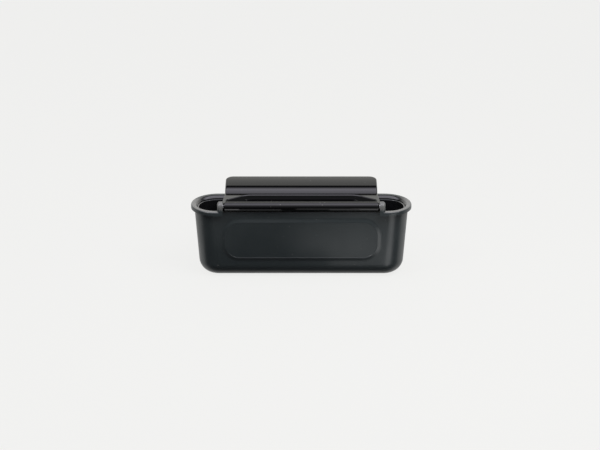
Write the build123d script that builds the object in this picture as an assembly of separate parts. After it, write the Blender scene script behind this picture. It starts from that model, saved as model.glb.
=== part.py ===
# Oblong moulded cup with a flanged mouth and a hinged flap.
# Frame: +Z up out of the mouth, +X along the long side, the panelled front wall at -Y,
# origin at the centre of the bottom face. Millimetres and degrees.

import math
import os

from build123d import *

# Cup: drafted shell
cup_height = 34.8
flange_length = 105.8
flange_depth = 26.5
flange_corner = 12.9
flange_thickness = 1.9
flange_overhang = 2.2
end_overhang = 1.5
flange_edge_round = 0.7
under_flange_round = 0.8
wall_draft = 1.75
end_draft = 3.9
wall_thickness = 2.2
floor_thickness = 2.0
bottom_round = 7.0

# Cup: rebate that leaves a ledge just inside the mouth
rebate_drop = 1.7
ledge_width = 0.5
mouth_bevel = 1.15
mouth_edge_round = 2.0
ledge_edge_round = 0.3

# Cup: panel that stands out from the front wall on shallow slopes, with a field sunk into it
field_length = 72.5
field_height = 18.1
field_corner = 6.8
field_bottom = 10.7
field_sink = 0.06
field_wall_slope = 45.0
panel_margin = 0.15
panel_slope_width = 1.7
panel_raise = 0.55
panel_crest_round = 0.9
panel_foot_round = 3.0

# Hinge: barrel on the flap, ears on the cup, pin through all of them
barrel_radius = 2.25
barrel_half_length = 36.9
barrel_end_round = 0.9
barrel_lift = 2.2
leaf_lift = 0.1
ear_gap = 0.3
ear_width = 2.6
ear_radius = 2.35
ear_round = 1.3
hinge_wall_drop = 0.6
pin_radius = 0.9
pin_inset = 0.2
running_clearance = 0.05

# Flap: levels are measured up from the rim, places along Y from the middle of the cup
border_top = 1.0
border_bottom = -0.9
border_front = -9.2
border_rear = 9.0
border_edge_round = 0.4
wing_front = -8.2
wing_half_width = 37.7
wing_straight_end = 1.5
wing_front_round = 0.5
wing_side_round = 12.0
wing_rear_round = 6.0
flange_gap = 0.3

# Flap: shell that rises from the border in one curve and levels out as the lifting tab
# A facing is how far up from the front a surface looks, so 90 is a level one
rise_foot = 9.9
rise_radius = 9.0
rise_facing = 42.0
join_facing = 74.0
tab_radius = 35.8
tab_facing = 90.0
tab_thickness = 1.6
tab_half_width = 37.0
tab_corner = 3.8
tab_edge_round = 0.7

# Flap: pan-shaped well, drawn in towards the rear at both ends
well_half_length = 36.4
well_front = -6.9
well_rear = 8.2
well_rear_half_length = 26.5
well_side_end = 1.2
well_front_corner = 3.0
well_side_corner = 3.0
well_rear_corner = 8.0
well_depth = 6.2
well_draft = 18.0
well_wall = 1.1
well_floor_round = 1.6
well_lip_bevel = 0.3

# Worked-out places
rim = cup_height
wall_length = flange_length - 2 * end_overhang
wall_depth = flange_depth - 2 * flange_overhang
wall_corner = flange_corner - flange_overhang
hinge_y = -flange_depth / 2 + ear_radius
hinge_z = rim + barrel_lift
ear_inner = barrel_half_length + ear_gap
ear_outer = ear_inner + ear_width
deck = rim + border_top

# Reach of a cutter past what it cuts, and how near counts as touching when picking edges
spare = 1.0
touch = 0.01


def straight_block(length, depth, corner, top, drop):
    """Rounded oblong block with upright sides that hangs from the level top."""
    outline = Plane.XY.offset(top) * RectangleRounded(length, depth, corner)
    return extrude(outline, amount=drop, dir=(0, 0, -1))


def drafted_block(length, depth, corner, top, drop):
    """Rounded oblong block that hangs from the level top and narrows downwards by both drafts."""
    end_inset = drop * math.tan(math.radians(end_draft))
    wall_inset = drop * math.tan(math.radians(wall_draft))
    upper = Plane.XY.offset(top) * RectangleRounded(length, depth, corner)
    lower = RectangleRounded(length - 2 * end_inset, depth - 2 * wall_inset, corner - wall_inset)
    return loft([Plane.XY.offset(top - drop) * lower, upper], ruled=True)


def box_between(low, high):
    """Box from its lowest to its highest corner."""
    size = [high[i] - low[i] for i in range(3)]
    centre = [(high[i] + low[i]) / 2 for i in range(3)]
    return Pos(*centre) * Box(*size)


def round_bar(radius, half_length):
    """Round bar on the hinge axis, to both sides of the middle."""
    outline = Plane.YZ * Pos(hinge_y, hinge_z) * Circle(radius)
    return extrude(outline, amount=half_length, both=True)


def lowest_edges(solid):
    """Edges round the bottom face of a solid."""
    return solid.faces().sort_by(Axis.Z)[0].edges()


def highest_edges(solid):
    """Edges round the top face of a solid."""
    return solid.faces().sort_by(Axis.Z)[-1].edges()


def hole_edges(solid, level):
    """Edges round the hole in the flat face that lies at this level."""
    flat_faces = solid.faces().filter_by(Axis.Z)
    face = flat_faces.filter_by_position(Axis.Z, level - touch, level + touch).sort_by(SortBy.AREA)[-1]
    return face.inner_wires()[0].edges()


def near(value, target):
    """Whether two lengths are the same for picking edges and corners."""
    return abs(value - target) < touch


def make_shell():
    """Drafted wall and floor with the flange, the mouth's rebate and its ledge."""
    wall = drafted_block(wall_length, wall_depth, wall_corner, rim, cup_height)
    wall = fillet(lowest_edges(wall), bottom_round)
    flange = straight_block(flange_length, flange_depth, flange_corner, rim, flange_thickness)
    flange = fillet(highest_edges(flange), flange_edge_round)
    shell = wall + flange
    shell = fillet(hole_edges(shell, rim - flange_thickness), under_flange_round)

    cavity = drafted_block(
        wall_length - 2 * wall_thickness,
        wall_depth - 2 * wall_thickness,
        wall_corner - wall_thickness,
        rim,
        cup_height - floor_thickness,
    )
    cavity = fillet(lowest_edges(cavity), bottom_round - floor_thickness)
    rebate_inset = wall_thickness - ledge_width
    rebate = straight_block(
        wall_length - 2 * rebate_inset,
        wall_depth - 2 * rebate_inset,
        wall_corner - rebate_inset,
        rim,
        rebate_drop,
    )
    shell = shell - cavity - rebate
    shell = chamfer(hole_edges(shell, rim), mouth_bevel)
    shell = fillet(hole_edges(shell, rim), mouth_edge_round)
    shell = fillet(hole_edges(shell, rim - rebate_drop), ledge_edge_round)
    front_gap = box_between(
        (-ear_inner, -flange_depth, 0),
        (ear_inner, 0, rim + spare),
    )
    return shell - (front_gap - wall)


def front_wall_plane():
    """Plane on the drafted front wall, at the middle of the panel, facing out."""
    middle = field_bottom + field_height / 2
    draft = math.radians(wall_draft)
    wall_y = -wall_depth / 2 + (rim - middle) * math.tan(draft)
    outward = (0, -math.cos(draft), -math.sin(draft))
    return Plane(origin=(0, wall_y, middle), x_dir=(1, 0, 0), z_dir=outward)


def panel_outline(margin):
    """Outline of the panel's field, grown by a margin."""
    return RectangleRounded(field_length + 2 * margin, field_height + 2 * margin, field_corner + margin)


def edges_round(solid, plane, level, inner):
    """Edges round the flat face at a level of a plane: its outer ones, or those of the hole in it."""
    flats = [
        face
        for face in solid.faces().filter_by(plane)
        if near(plane.to_local_coords(face.center()).Z, level)
    ]
    face = ShapeList(flats).sort_by(SortBy.AREA)[-1]
    wire = face.inner_wires()[0] if inner else face.outer_wire()
    return wire.edges()


def add_panel(shell):
    """Shell with the panel raised on its front wall and the field sunk into the panel."""
    wall = front_wall_plane()
    slope = math.degrees(math.atan2(panel_slope_width, panel_raise))
    panel = extrude(wall * panel_outline(panel_margin + panel_slope_width), amount=panel_raise, taper=slope)
    shell = fillet(edges_round(shell + panel, wall, 0, True), panel_foot_round)
    shell = fillet(edges_round(shell, wall, panel_raise, False), panel_crest_round)
    field = wall.offset(panel_raise) * panel_outline(0)
    return shell - extrude(field, amount=field_sink, dir=-wall.z_dir, taper=field_wall_slope)


def make_ear(side):
    """Lug that carries one end of the hinge pin, rounded over the hinge axis."""
    root = rim - rebate_drop
    outline = Pos(hinge_y, hinge_z) * Circle(ear_radius)
    outline += Pos(hinge_y, (root + hinge_z) / 2) * Rectangle(2 * ear_radius, hinge_z - root)
    lug = extrude(Plane.YZ.offset(ear_inner) * outline, amount=ear_width)
    outer_side = lug.faces().sort_by(Axis.X)[-1]
    lug = fillet(outer_side.edges().filter_by(GeomType.CIRCLE), ear_round)
    lug -= box_between(
        (0, -flange_depth, root - spare),
        (ear_outer + spare, -wall_depth / 2, rim - flange_thickness),
    )
    return lug if side > 0 else mirror(lug, about=Plane.YZ)


def make_cup():
    """Cup in one moulding: shell, raised panel, lowered front wall and hinge ears."""
    cup = add_panel(make_shell())
    cup -= box_between(
        (-ear_inner, -flange_depth, rim - hinge_wall_drop),
        (ear_inner, 0, rim + spare),
    )
    for side in (-1, 1):
        cup += make_ear(side)
    return cup - round_bar(pin_radius, ear_outer + spare)


def round_corners(outline, corners):
    """Outline with its corners at these places, left and right alike, rounded by their radii."""
    for x, y, radius in corners:
        picked = [v for v in outline.vertices() if near(abs(v.X), x) and near(v.Y, y)]
        outline = fillet(picked, radius)
    return outline


def mirrored_outline(half):
    """Face inside the points of its right half and their mirror images, from front to rear."""
    other_half = [(-x, y) for x, y in reversed(half)]
    return make_face(Polyline(*half, *other_half, close=True))


def make_border():
    """Flat border of the flap: wings behind the ears, drawn in at the rear, notched over the flange."""
    border_end = rise_foot + tab_thickness
    outline = mirrored_outline([
        (barrel_half_length, border_front),
        (barrel_half_length, wing_front),
        (wing_half_width, wing_front),
        (wing_half_width, wing_straight_end),
        (tab_half_width, rise_foot),
        (tab_half_width, border_end),
    ])
    outline = round_corners(outline, [
        (wing_half_width, wing_front, wing_front_round),
        (wing_half_width, wing_straight_end, wing_side_round),
        (tab_half_width, rise_foot, wing_rear_round),
    ])
    border = extrude(Plane.XY.offset(rim + border_bottom) * outline, amount=border_top - border_bottom)
    sides = [
        edge
        for edge in highest_edges(border)
        if abs(edge.center().X) > tab_half_width - touch and edge.center().Y > wing_front - touch
    ]
    border = fillet(sides, border_edge_round)
    notch = box_between(
        (-wing_half_width, border_rear, rim + border_bottom - spare),
        (wing_half_width, border_end + spare, rim + flange_gap),
    )
    return border - notch


def rise_point(centre, radius, facing):
    """Place beside and above a centre, on an arc about it, where the arc's outside has this facing."""
    angle = math.radians(facing)
    return (centre[0] - radius * math.cos(angle), centre[1] + radius * math.sin(angle))


def rise_arc(centre, radius, first, last):
    """Arc about a centre, from its first facing to its last."""
    facings = (first, (first + last) / 2, last)
    return ThreePointArc(*[rise_point(centre, radius, facing) for facing in facings])


def make_rise_and_tab():
    """Rear of the flap: a curved shell that clears the flange and ends in the level lifting tab."""
    rise_centre = rise_point((rise_foot, deck), -rise_radius, rise_facing)
    join = rise_point(rise_centre, rise_radius, join_facing)
    tab_centre = rise_point(join, -tab_radius, join_facing)
    top = [
        rise_arc(rise_centre, rise_radius, rise_facing, join_facing),
        rise_arc(tab_centre, tab_radius, join_facing, tab_facing),
    ]
    underside = [
        rise_arc(tab_centre, tab_radius - tab_thickness, tab_facing, join_facing),
        rise_arc(rise_centre, rise_radius - tab_thickness, join_facing, rise_facing),
    ]
    ends = [Line(top[-1] @ 1, underside[0] @ 0), Line(underside[-1] @ 1, top[0] @ 0)]
    section = Plane.YZ * make_face([*top, *underside, *ends])
    shell = extrude(section, amount=tab_half_width, both=True)
    rear_corners = shell.edges().filter_by(Axis.Z).group_by(Axis.Y)[-1]
    tab_rear = rear_corners[0].center().Y
    shell = fillet(rear_corners, tab_corner)

    least_upward = math.sin(math.radians(rise_facing))
    top_faces = [face for face in shell.faces() if face.normal_at().Z > least_upward]
    outer_edges = [
        edge
        for face in top_faces
        for edge in face.edges()
        if abs(edge.center().X) > touch or near(edge.center().Y, tab_rear)
    ]
    shell = fillet(outer_edges, tab_edge_round)
    over_flange = box_between(
        (-wing_half_width, 0, 0),
        (wing_half_width, flange_depth, rim + flange_gap),
    )
    return shell - over_flange


def make_well(inset):
    """Tapered block for the pan: its outside with inset 0, its hollow with the wall's thickness."""
    outline = mirrored_outline([
        (well_half_length, well_front),
        (well_half_length, well_side_end),
        (well_rear_half_length, well_rear),
    ])
    outline = round_corners(outline, [
        (well_half_length, well_front, well_front_corner),
        (well_half_length, well_side_end, well_side_corner),
        (well_rear_half_length, well_rear, well_rear_corner),
    ])
    if inset < well_wall:
        outline = offset(outline, well_wall - inset)
    depth = border_top + well_depth + well_wall - inset
    block = extrude(Plane.XY.offset(deck) * outline, amount=depth, dir=(0, 0, -1), taper=well_draft)
    return fillet(lowest_edges(block), well_floor_round + well_wall - inset)


def make_barrel():
    """Hinge barrel with rounded ends, and the leaf that joins it to the border."""
    barrel = round_bar(barrel_radius, barrel_half_length)
    barrel = fillet(barrel.edges().filter_by(GeomType.CIRCLE), barrel_end_round)
    leaf = box_between(
        (-barrel_half_length, hinge_y, rim + leaf_lift),
        (barrel_half_length, border_front + spare, deck),
    )
    return barrel + leaf


def make_flap():
    """Flap in one moulding: barrel, border, pan-shaped well, rise and lifting tab."""
    flap = make_border() + make_rise_and_tab() + make_barrel() + make_well(0) - make_well(well_wall)
    flap = chamfer(hole_edges(flap, deck), well_lip_bevel)
    return flap - round_bar(pin_radius + running_clearance, barrel_half_length + spare)


def make_hinge_pin():
    """Plain wire pin, just short of the ears' outer sides."""
    return round_bar(pin_radius, ear_outer - pin_inset)


os.makedirs("parts", exist_ok=True)
export_step(make_cup(), "parts/cup.step")
export_step(make_flap(), "parts/flap.step")
export_step(make_hinge_pin(), "parts/hinge_pin.step")
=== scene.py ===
import math
import bpy
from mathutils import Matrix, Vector

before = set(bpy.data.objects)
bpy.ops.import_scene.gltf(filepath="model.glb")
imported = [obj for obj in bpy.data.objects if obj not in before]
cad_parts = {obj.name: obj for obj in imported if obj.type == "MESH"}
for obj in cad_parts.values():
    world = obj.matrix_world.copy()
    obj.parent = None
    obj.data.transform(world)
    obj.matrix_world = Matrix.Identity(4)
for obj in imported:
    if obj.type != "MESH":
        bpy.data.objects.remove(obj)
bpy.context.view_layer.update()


# Shared effects
# Two node groups for both mouldings: loose dust that lies in scattered specks, and the uneven
# film that fingers leave, which only changes how polished a surface is.
speck_edge = 0.26
speck_core = 0.08
smears_per_metre = 90
smear_detail = 5
smear_distortion = 0.6
film_clean = 0.35
film_full = 0.7


def feed(tree, given, socket):
    """Link a socket to another one, or set it to a plain value."""
    if isinstance(given, bpy.types.NodeSocket):
        tree.links.new(given, socket)
    else:
        socket.default_value = given


def fade(tree, value, start, end, interpolation="SMOOTHSTEP"):
    """Mask that goes from 0 to 1 while a value goes from start to end."""
    ramp = tree.nodes.new("ShaderNodeMapRange")
    ramp.interpolation_type = interpolation
    feed(tree, start, ramp.inputs["From Min"])
    feed(tree, end, ramp.inputs["From Max"])
    feed(tree, value, ramp.inputs["Value"])
    return ramp.outputs["Result"]


def reckon(tree, operation, *terms):
    """Result of one sum on sockets and plain numbers."""
    sum_node = tree.nodes.new("ShaderNodeMath")
    sum_node.operation = operation
    for term, socket in zip(terms, sum_node.inputs):
        feed(tree, term, socket)
    return sum_node.outputs["Value"]


dust = bpy.data.node_groups.new("dust specks", "ShaderNodeTree")
dust.interface.new_socket("Vector", in_out="INPUT", socket_type="NodeSocketVector")
dust.interface.new_socket("Specks per metre", in_out="INPUT", socket_type="NodeSocketFloat")
dust.interface.new_socket("Share of cells", in_out="INPUT", socket_type="NodeSocketFloat")
dust.interface.new_socket("Mask", in_out="OUTPUT", socket_type="NodeSocketFloat")
dust_in = dust.nodes.new("NodeGroupInput")
dust_out = dust.nodes.new("NodeGroupOutput")
cells = dust.nodes.new("ShaderNodeTexVoronoi")
feed(dust, dust_in.outputs["Vector"], cells.inputs["Vector"])
feed(dust, dust_in.outputs["Specks per metre"], cells.inputs["Scale"])
speck = fade(dust, cells.outputs["Distance"], speck_edge, speck_core)
chance = dust.nodes.new("ShaderNodeSeparateColor")
feed(dust, cells.outputs["Color"], chance.inputs["Color"])
chosen = reckon(dust, "LESS_THAN", chance.outputs["Red"], dust_in.outputs["Share of cells"])
weight = reckon(dust, "MULTIPLY", chosen, chance.outputs["Green"])
feed(dust, reckon(dust, "MULTIPLY", speck, weight), dust_out.inputs["Mask"])

film = bpy.data.node_groups.new("handling film", "ShaderNodeTree")
film.interface.new_socket("Vector", in_out="INPUT", socket_type="NodeSocketVector")
film.interface.new_socket("Mask", in_out="OUTPUT", socket_type="NodeSocketFloat")
film_in = film.nodes.new("NodeGroupInput")
film_out = film.nodes.new("NodeGroupOutput")
smears = film.nodes.new("ShaderNodeTexNoise")
feed(film, smears_per_metre, smears.inputs["Scale"])
feed(film, smear_detail, smears.inputs["Detail"])
feed(film, smear_distortion, smears.inputs["Distortion"])
feed(film, film_in.outputs["Vector"], smears.inputs["Vector"])
feed(film, fade(film, smears.outputs["Fac"], film_clean, film_full), film_out.inputs["Mask"])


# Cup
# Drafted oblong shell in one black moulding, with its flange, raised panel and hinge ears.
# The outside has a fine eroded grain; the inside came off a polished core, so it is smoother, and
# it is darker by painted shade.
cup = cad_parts["cup"]
cup_outside_colour = (0.0165, 0.0215, 0.0225, 1)
# Painted shade: the inside colour is darker than the outside to stand for the shade in the mouth.
cup_inside_painted_shade_colour = (0.0055, 0.0056, 0.006, 1)
# Painted sheen: a lighter colour on up-facing surfaces and the ears, for light that falls on them.
cup_painted_sheen_colour = (0.1, 0.1, 0.095, 1)
cup_dust_colour = (0.11, 0.11, 0.1, 1)
cup_refraction = 1.58
cup_outside_roughness = 0.32
cup_film_roughness = 0.06
cup_inside_roughness = 0.12
cup_worn_roughness = 0.3
cup_specks_per_metre = 700
cup_dusty_share = 0.06
cup_grain_per_metre = 5200
cup_grain_detail = 2
cup_grain_height = 0.00003
cup_grain_strength = 0.35
long_way_share = 0.3
inside_begins = -0.05
inside_full = -0.3
level_begins = 0.6
level_full = 0.95
sheltered_y = 0.0095
open_y = 0.003
ear_foot = 0.0353
ear_clear = 0.0366
ear_sheen_and_wear = 0.85


def blend(tree, kind, mask, plain, other):
    """Value or colour that goes from plain to other as the mask goes from 0 to 1."""
    mix = tree.nodes.new("ShaderNodeMix")
    mix.data_type = kind
    feed(tree, mask, mix.inputs["Factor"])
    feed(tree, plain, mix.inputs["A"])
    feed(tree, other, mix.inputs["B"])
    return mix.outputs["Result"]


def vector_sum(tree, operation, output, *terms):
    """Result of one sum on vectors."""
    sum_node = tree.nodes.new("ShaderNodeVectorMath")
    sum_node.operation = operation
    for term, socket in zip(terms, sum_node.inputs):
        feed(tree, term, socket)
    return sum_node.outputs[output]


def axes_of(tree, vector):
    """X, Y and Z of a vector."""
    axes = tree.nodes.new("ShaderNodeSeparateXYZ")
    feed(tree, vector, axes.inputs["Vector"])
    return axes.outputs


def effect_mask(tree, group, place, settings):
    """Mask of a shared effect, laid out by the piece's own coordinates."""
    effect = tree.nodes.new("ShaderNodeGroup")
    effect.node_tree = group
    feed(tree, place, effect.inputs["Vector"])
    for name, value in settings.items():
        feed(tree, value, effect.inputs[name])
    return effect.outputs["Mask"]


def relief(tree, height, strength, depth):
    """Normal that is tilted by a fine height pattern."""
    bump = tree.nodes.new("ShaderNodeBump")
    feed(tree, strength, bump.inputs["Strength"])
    feed(tree, depth, bump.inputs["Distance"])
    feed(tree, height, bump.inputs["Height"])
    return bump.outputs["Normal"]


cup_plastic = bpy.data.materials.new("cup_plastic")
cup_plastic.use_nodes = True
tree = cup_plastic.node_tree
shader = tree.nodes["Principled BSDF"]
shader.inputs["IOR"].default_value = cup_refraction
coordinates = tree.nodes.new("ShaderNodeTexCoord")
place = coordinates.outputs["Object"]
normal = coordinates.outputs["Normal"]

# Walls that face the middle of the cup belong to the polished core side, which is smoother and has
# a darker colour as painted shade. The long way counts for less, because the middle is a line
# along the cup.
flat_place = vector_sum(tree, "MULTIPLY", "Vector", place, (long_way_share, 1, 0))
outward = vector_sum(tree, "NORMALIZE", "Vector", flat_place)
facing_out = vector_sum(tree, "DOT_PRODUCT", "Value", outward, normal)
inside = fade(tree, facing_out, inside_begins, inside_full, "LINEAR")

# Surfaces that face up get painted sheen in their colour and a worn roughness, except the rear of
# the rim, which is left darker as painted shade from the tab. The ears stand clear of the rim and
# get the painted sheen and the wear all over.
facing_up = fade(tree, axes_of(tree, normal)["Z"], level_begins, level_full)
clear_of_tab = fade(tree, axes_of(tree, place)["Y"], sheltered_y, open_y)
rim_sheen_and_wear = reckon(tree, "MULTIPLY", facing_up, clear_of_tab)
above_rim = fade(tree, axes_of(tree, place)["Z"], ear_foot, ear_clear, "LINEAR")
sheen_and_wear = blend(tree, "FLOAT", above_rim, rim_sheen_and_wear, ear_sheen_and_wear)

cup_film = effect_mask(tree, film, place, {})
outside_roughness = blend(
    tree, "FLOAT", cup_film, cup_outside_roughness, cup_outside_roughness + cup_film_roughness
)
unworn_roughness = blend(tree, "FLOAT", inside, outside_roughness, cup_inside_roughness)
cup_roughness = blend(tree, "FLOAT", sheen_and_wear, unworn_roughness, cup_worn_roughness)
feed(tree, cup_roughness, shader.inputs["Roughness"])

cup_dust = effect_mask(
    tree, dust, place, {"Specks per metre": cup_specks_per_metre, "Share of cells": cup_dusty_share}
)
shaded_colour = blend(tree, "RGBA", inside, cup_outside_colour, cup_inside_painted_shade_colour)
# The painted sheen goes into the base colour here, over the painted shade of the inside.
sheened_colour = blend(tree, "RGBA", sheen_and_wear, shaded_colour, cup_painted_sheen_colour)
cup_colour = blend(tree, "RGBA", cup_dust, sheened_colour, cup_dust_colour)
feed(tree, cup_colour, shader.inputs["Base Color"])

cup_grain = tree.nodes.new("ShaderNodeTexNoise")
feed(tree, cup_grain_per_metre, cup_grain.inputs["Scale"])
feed(tree, cup_grain_detail, cup_grain.inputs["Detail"])
feed(tree, place, cup_grain.inputs["Vector"])
cup_relief = relief(tree, cup_grain.outputs["Fac"], cup_grain_strength, cup_grain_height)
feed(tree, cup_relief, shader.inputs["Normal"])
cup.data.materials.clear()
cup.data.materials.append(cup_plastic)


# Flap
# Lid in one glossy black moulding, from its hinge barrel over the pan to the lifting tab.
# Fingers use it, so the polish carries a film, hairline scratches and a little dust.
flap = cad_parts["flap"]
flap_colour = (0.0016, 0.0016, 0.0018, 1)
flap_dust_colour = (0.12, 0.12, 0.11, 1)
flap_roughness = 0.055
flap_film_roughness = 0.05
flap_specks_per_metre = 900
flap_dusty_share = 0.05
scratch_slant = math.radians(8)
scratches_along = 60
scratches_across = 4200
scratch_detail = 1
scratch_height = 0.000004
scratch_strength = 0.2


def streaks(tree, place, slant, along, across):
    """Noise drawn out along X, as a texture node."""
    stretch = tree.nodes.new("ShaderNodeMapping")
    feed(tree, (0, 0, slant), stretch.inputs["Rotation"])
    feed(tree, (along, across, across), stretch.inputs["Scale"])
    feed(tree, place, stretch.inputs["Vector"])
    noise = tree.nodes.new("ShaderNodeTexNoise")
    feed(tree, 1, noise.inputs["Scale"])
    feed(tree, stretch.outputs["Vector"], noise.inputs["Vector"])
    return noise


flap_plastic = bpy.data.materials.new("flap_plastic")
flap_plastic.use_nodes = True
tree = flap_plastic.node_tree
shader = tree.nodes["Principled BSDF"]
place = tree.nodes.new("ShaderNodeTexCoord").outputs["Object"]

flap_film = effect_mask(tree, film, place, {})
flap_polish = blend(tree, "FLOAT", flap_film, flap_roughness, flap_roughness + flap_film_roughness)
feed(tree, flap_polish, shader.inputs["Roughness"])
flap_dust = effect_mask(
    tree, dust, place, {"Specks per metre": flap_specks_per_metre, "Share of cells": flap_dusty_share}
)
flap_tint = blend(tree, "RGBA", flap_dust, flap_colour, flap_dust_colour)
feed(tree, flap_tint, shader.inputs["Base Color"])
scratches = streaks(tree, place, scratch_slant, scratches_along, scratches_across)
feed(tree, scratch_detail, scratches.inputs["Detail"])
flap_relief = relief(tree, scratches.outputs["Fac"], scratch_strength, scratch_height)
feed(tree, flap_relief, shader.inputs["Normal"])
flap.data.materials.clear()
flap.data.materials.append(flap_plastic)


# Hinge pin
# Plain drawn steel wire through both ears and the barrel, pressed in at its ends.
# Only its cut ends show; the drawing lines run along it.
hinge_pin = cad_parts["hinge_pin"]
pin_colour = (0.5, 0.5, 0.51, 1)
pin_smooth = 0.25
pin_rough = 0.5
drawing_lines_along = 150
drawing_lines_across = 9000

pin_steel = bpy.data.materials.new("pin_steel")
pin_steel.use_nodes = True
tree = pin_steel.node_tree
shader = tree.nodes["Principled BSDF"]
shader.inputs["Base Color"].default_value = pin_colour
shader.inputs["Metallic"].default_value = 1
place = tree.nodes.new("ShaderNodeTexCoord").outputs["Object"]
drawing_lines = streaks(tree, place, 0, drawing_lines_along, drawing_lines_across)
pin_polish = blend(tree, "FLOAT", drawing_lines.outputs["Fac"], pin_smooth, pin_rough)
feed(tree, pin_polish, shader.inputs["Roughness"])
hinge_pin.data.materials.clear()
hinge_pin.data.materials.append(pin_steel)


# Floor
# Plain pale ground that takes a faint shadow. In reflections it shows a painted reflection that
# glows on its own: dim in front of the cup, white under and behind it.
floor_half = 3.0
floor_seen = (1, 1, 0.985, 1)
floor_matt = (0.2, 0.2, 0.196, 1)
floor_painted_reflection_white = (0.8, 0.8, 0.79, 1)
floor_painted_reflection_dim = (0.035, 0.035, 0.037, 1)
floor_shadow_share = 0.18
dim_until_y = -0.0105
white_from_y = -0.0065

corners = [(x * floor_half, y * floor_half, 0) for x, y in ((-1, -1), (1, -1), (1, 1), (-1, 1))]
floor_mesh = bpy.data.meshes.new("floor")
floor_mesh.from_pydata(corners, [], [(0, 1, 2, 3)])
floor = bpy.data.objects.new("floor", floor_mesh)
bpy.context.scene.collection.objects.link(floor)

floor_paint = bpy.data.materials.new("floor_paint")
floor_paint.use_nodes = True
tree = floor_paint.node_tree
matt = tree.nodes["Principled BSDF"]
matt.inputs["Base Color"].default_value = floor_matt
matt.inputs["Roughness"].default_value = 1
matt.inputs["Specular IOR Level"].default_value = 0
ray = tree.nodes.new("ShaderNodeLightPath")
place = tree.nodes.new("ShaderNodeTexCoord").outputs["Object"]

# Painted reflection: what the part mirrors of the floor glows, white even in the cup's shadow.
under_or_behind = fade(tree, axes_of(tree, place)["Y"], dim_until_y, white_from_y, "LINEAR")
painted_reflection = tree.nodes.new("ShaderNodeEmission")
feed(tree, blend(tree, "RGBA", under_or_behind, floor_painted_reflection_dim, floor_painted_reflection_white), painted_reflection.inputs["Color"])
pale = tree.nodes.new("ShaderNodeEmission")
pale.inputs["Color"].default_value = floor_seen
pale_share = reckon(tree, "MULTIPLY", ray.outputs["Is Camera Ray"], 1 - floor_shadow_share)
seen = tree.nodes.new("ShaderNodeMixShader")
feed(tree, pale_share, seen.inputs["Fac"])
feed(tree, matt.outputs["BSDF"], seen.inputs[1])
feed(tree, pale.outputs["Emission"], seen.inputs[2])
seen_or_painted_reflection = tree.nodes.new("ShaderNodeMixShader")
feed(tree, ray.outputs["Is Glossy Ray"], seen_or_painted_reflection.inputs["Fac"])
feed(tree, seen.outputs["Shader"], seen_or_painted_reflection.inputs[1])
feed(tree, painted_reflection.outputs["Emission"], seen_or_painted_reflection.inputs[2])
feed(tree, seen_or_painted_reflection.outputs["Shader"], tree.nodes["Material Output"].inputs["Surface"])
floor_mesh.materials.append(floor_paint)


# Light
# A room with one broad soft light overhead that fades towards the front, pale walls behind and low
# at the sides, and dim space in front; lamps and panels add the shadow and the sharper highlights.
soft_light = (2.8, 2.74, 3.05, 1)
wall_behind = (0.92, 0.92, 0.885, 1)
walls_at_sides = (0.8, 0.8, 0.785, 1)
front_low = (0.18, 0.185, 0.19, 1)
front_high = (0.03, 0.03, 0.033, 1)
room_seen = (0.86, 0.86, 0.845, 1)
front_high_climb = math.radians(100)
front_low_climb = math.radians(60)
wall_behind_foot = math.radians(128)
wall_behind_head = math.radians(124)
side_wall_edge = 0.6
side_wall_full = 0.8
side_wall_head = 0.45
side_wall_foot = 0.25
side_wall_front = 0
side_wall_back = 0.15
soft_front_edge = math.radians(22)
soft_front_full = math.radians(88)
soft_back_edge = math.radians(114)
soft_back_full = math.radians(92)
soft_side_edge = 0.8
soft_side_full = 0.55
key_place = (0.15, -0.15, 0.33)
key_target = (0.03, -0.01, 0.02)
key_size = 0.2
key_power = 0.85
side_lamp_aside = 0.36
side_lamp_y = -0.24
side_lamp_height = 0.45
side_lamp_size = 0.08
side_lamp_target = (0, 0, 0)
left_lamp_power = 1.0
right_lamp_power = 0.5

world = bpy.data.worlds.new("studio")
bpy.context.scene.world = world
world.use_nodes = True
tree = world.node_tree
direction = axes_of(tree, tree.nodes.new("ShaderNodeTexCoord").outputs["Generated"])
off_middle = reckon(tree, "ABSOLUTE", direction["X"])
to_front = reckon(tree, "MULTIPLY", direction["Y"], -1)
# Angle from the front horizon, over the top, to the horizon behind
climb = reckon(tree, "ARCTAN2", direction["Z"], to_front)

in_front = fade(tree, climb, front_high_climb, front_low_climb)
front_room = blend(tree, "RGBA", in_front, front_high, front_low)
behind = fade(tree, climb, wall_behind_head, wall_behind_foot)
front_and_back = blend(tree, "RGBA", behind, front_room, wall_behind)

far_aside = fade(tree, off_middle, side_wall_edge, side_wall_full)
low_down = fade(tree, direction["Z"], side_wall_head, side_wall_foot)
not_in_front = fade(tree, direction["Y"], side_wall_front, side_wall_back)
low_aside = reckon(tree, "MULTIPLY", far_aside, low_down)
low_aside_behind = reckon(tree, "MULTIPLY", low_aside, not_in_front)
bare_room = blend(tree, "RGBA", low_aside_behind, front_and_back, walls_at_sides)

front_fade = fade(tree, climb, soft_front_edge, soft_front_full, "LINEAR")
back_edge = fade(tree, climb, soft_back_edge, soft_back_full)
side_edges = fade(tree, off_middle, soft_side_edge, soft_side_full)
front_to_back = reckon(tree, "MULTIPLY", front_fade, back_edge)
overhead = reckon(tree, "MULTIPLY", front_to_back, side_edges)
lit_room = blend(tree, "RGBA", overhead, bare_room, soft_light)
ray = tree.nodes.new("ShaderNodeLightPath")
room_colour = blend(tree, "RGBA", ray.outputs["Is Camera Ray"], lit_room, room_seen)
feed(tree, room_colour, tree.nodes["Background"].inputs["Color"])


def area_lamp(name, shape, place, length, width, power):
    """Area lamp of a given shape and size, pointing down."""
    light = bpy.data.lights.new(name, "AREA")
    light.shape = shape
    light.size = length
    light.size_y = width
    light.energy = power
    lamp = bpy.data.objects.new(name, light)
    lamp.location = place
    bpy.context.scene.collection.objects.link(lamp)
    return lamp


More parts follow.
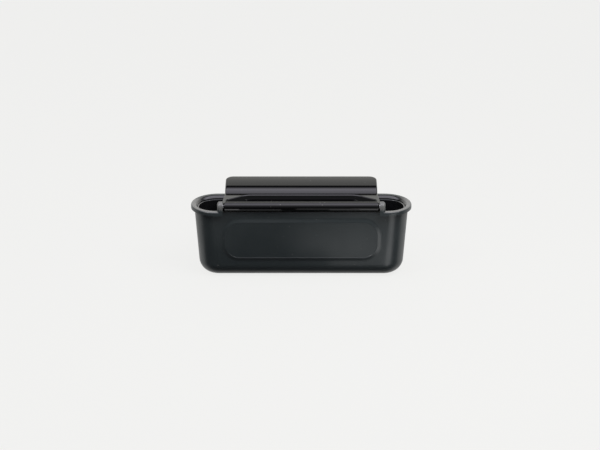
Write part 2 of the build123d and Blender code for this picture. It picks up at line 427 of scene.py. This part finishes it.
def aim(lamp, target):
    """Turn a lamp towards a point."""
    lamp.rotation_euler = (Vector(target) - lamp.location).to_track_quat("-Z", "Y").to_euler()


# The key lamp stands high to the front right, so that the barrel shades the wall below it
key_lamp = area_lamp("key lamp", "SQUARE", key_place, key_size, key_size, key_power)
aim(key_lamp, key_target)
key_lamp.visible_glossy = False

# Two small lamps stand high at the sides, so that the edge of the ledge and the ears glint
for name, side, power in (("left lamp", -1, left_lamp_power), ("right lamp", 1, right_lamp_power)):
    place = (side * side_lamp_aside, side_lamp_y, side_lamp_height)
    side_lamp = area_lamp(name, "SQUARE", place, side_lamp_size, side_lamp_size, power)
    aim(side_lamp, side_lamp_target)

# Panels of light lie face up on the floor in front, for the wall, its corners and the barrel to
# mirror. Those for the barrel alone have a narrow spread, which keeps them off the wall. Turn and
# spread are in degrees.
for name, shape, place, length, width, turn, spread, brightness in (
    ("corner panel", "ELLIPSE", (0.08, -0.066, 0.001), 0.122, 0.024, -52.6, 180, 1.3),
    ("far corner panel", "ELLIPSE", (0.098, -0.09, 0.0015), 0.05, 0.026, -52.6, 180, 1.6),
    ("wall panel", "RECTANGLE", (0.018, -0.052, 0.0005), 0.041, 0.03, 0, 180, 0.65),
    ("upper wall panel", "RECTANGLE", (0.035, -0.078, 0.0005), 0.018, 0.034, 0, 180, 0.5),
    ("left wall panel", "RECTANGLE", (-0.058, -0.07, 0.0005), 0.036, 0.03, 0, 180, 0.2),
    ("lower wall panel", "RECTANGLE", (0.03, -0.03, 0.001), 0.032, 0.024, 0, 180, 0.48),
    ("right end panel", "RECTANGLE", (0.0395, -0.0375, 0.0015), 0.021, 0.025, 0, 110, 0.4),
    ("left barrel panel", "RECTANGLE", (-0.029, -0.028, 0.001), 0.038, 0.02, 0, 90, 0.18),
    ("left end panel", "RECTANGLE", (-0.0415, -0.0375, 0.0015), 0.021, 0.025, 0, 110, 0.75),
):
    panel = area_lamp(name, shape, place, length, width, brightness * math.pi * length * width)
    panel.data.spread = math.radians(spread)
    panel.rotation_euler = (math.pi, 0, math.radians(turn))
    panel.visible_camera = False


# Camera
# Level with the long side and looking down on the mouth, as the photo was taken.
camera_elevation = math.radians(21.5)
camera_distance = 0.79
camera_target = Vector((-0.0006, 0, 0.0233))
camera_lens = 98.2
camera_sensor = 36.0
camera_data = bpy.data.cameras.new("camera")
camera_data.lens = camera_lens
camera_data.sensor_width = camera_sensor
camera_data.sensor_fit = "HORIZONTAL"
camera = bpy.data.objects.new("camera", camera_data)
bpy.context.scene.collection.objects.link(camera)
towards_camera = Vector((0, -math.cos(camera_elevation), math.sin(camera_elevation)))
camera.location = camera_target + camera_distance * towards_camera
camera.rotation_euler = (math.pi / 2 - camera_elevation, 0, 0)
bpy.context.scene.camera = camera
bpy.context.scene.view_settings.view_transform = "Standard"
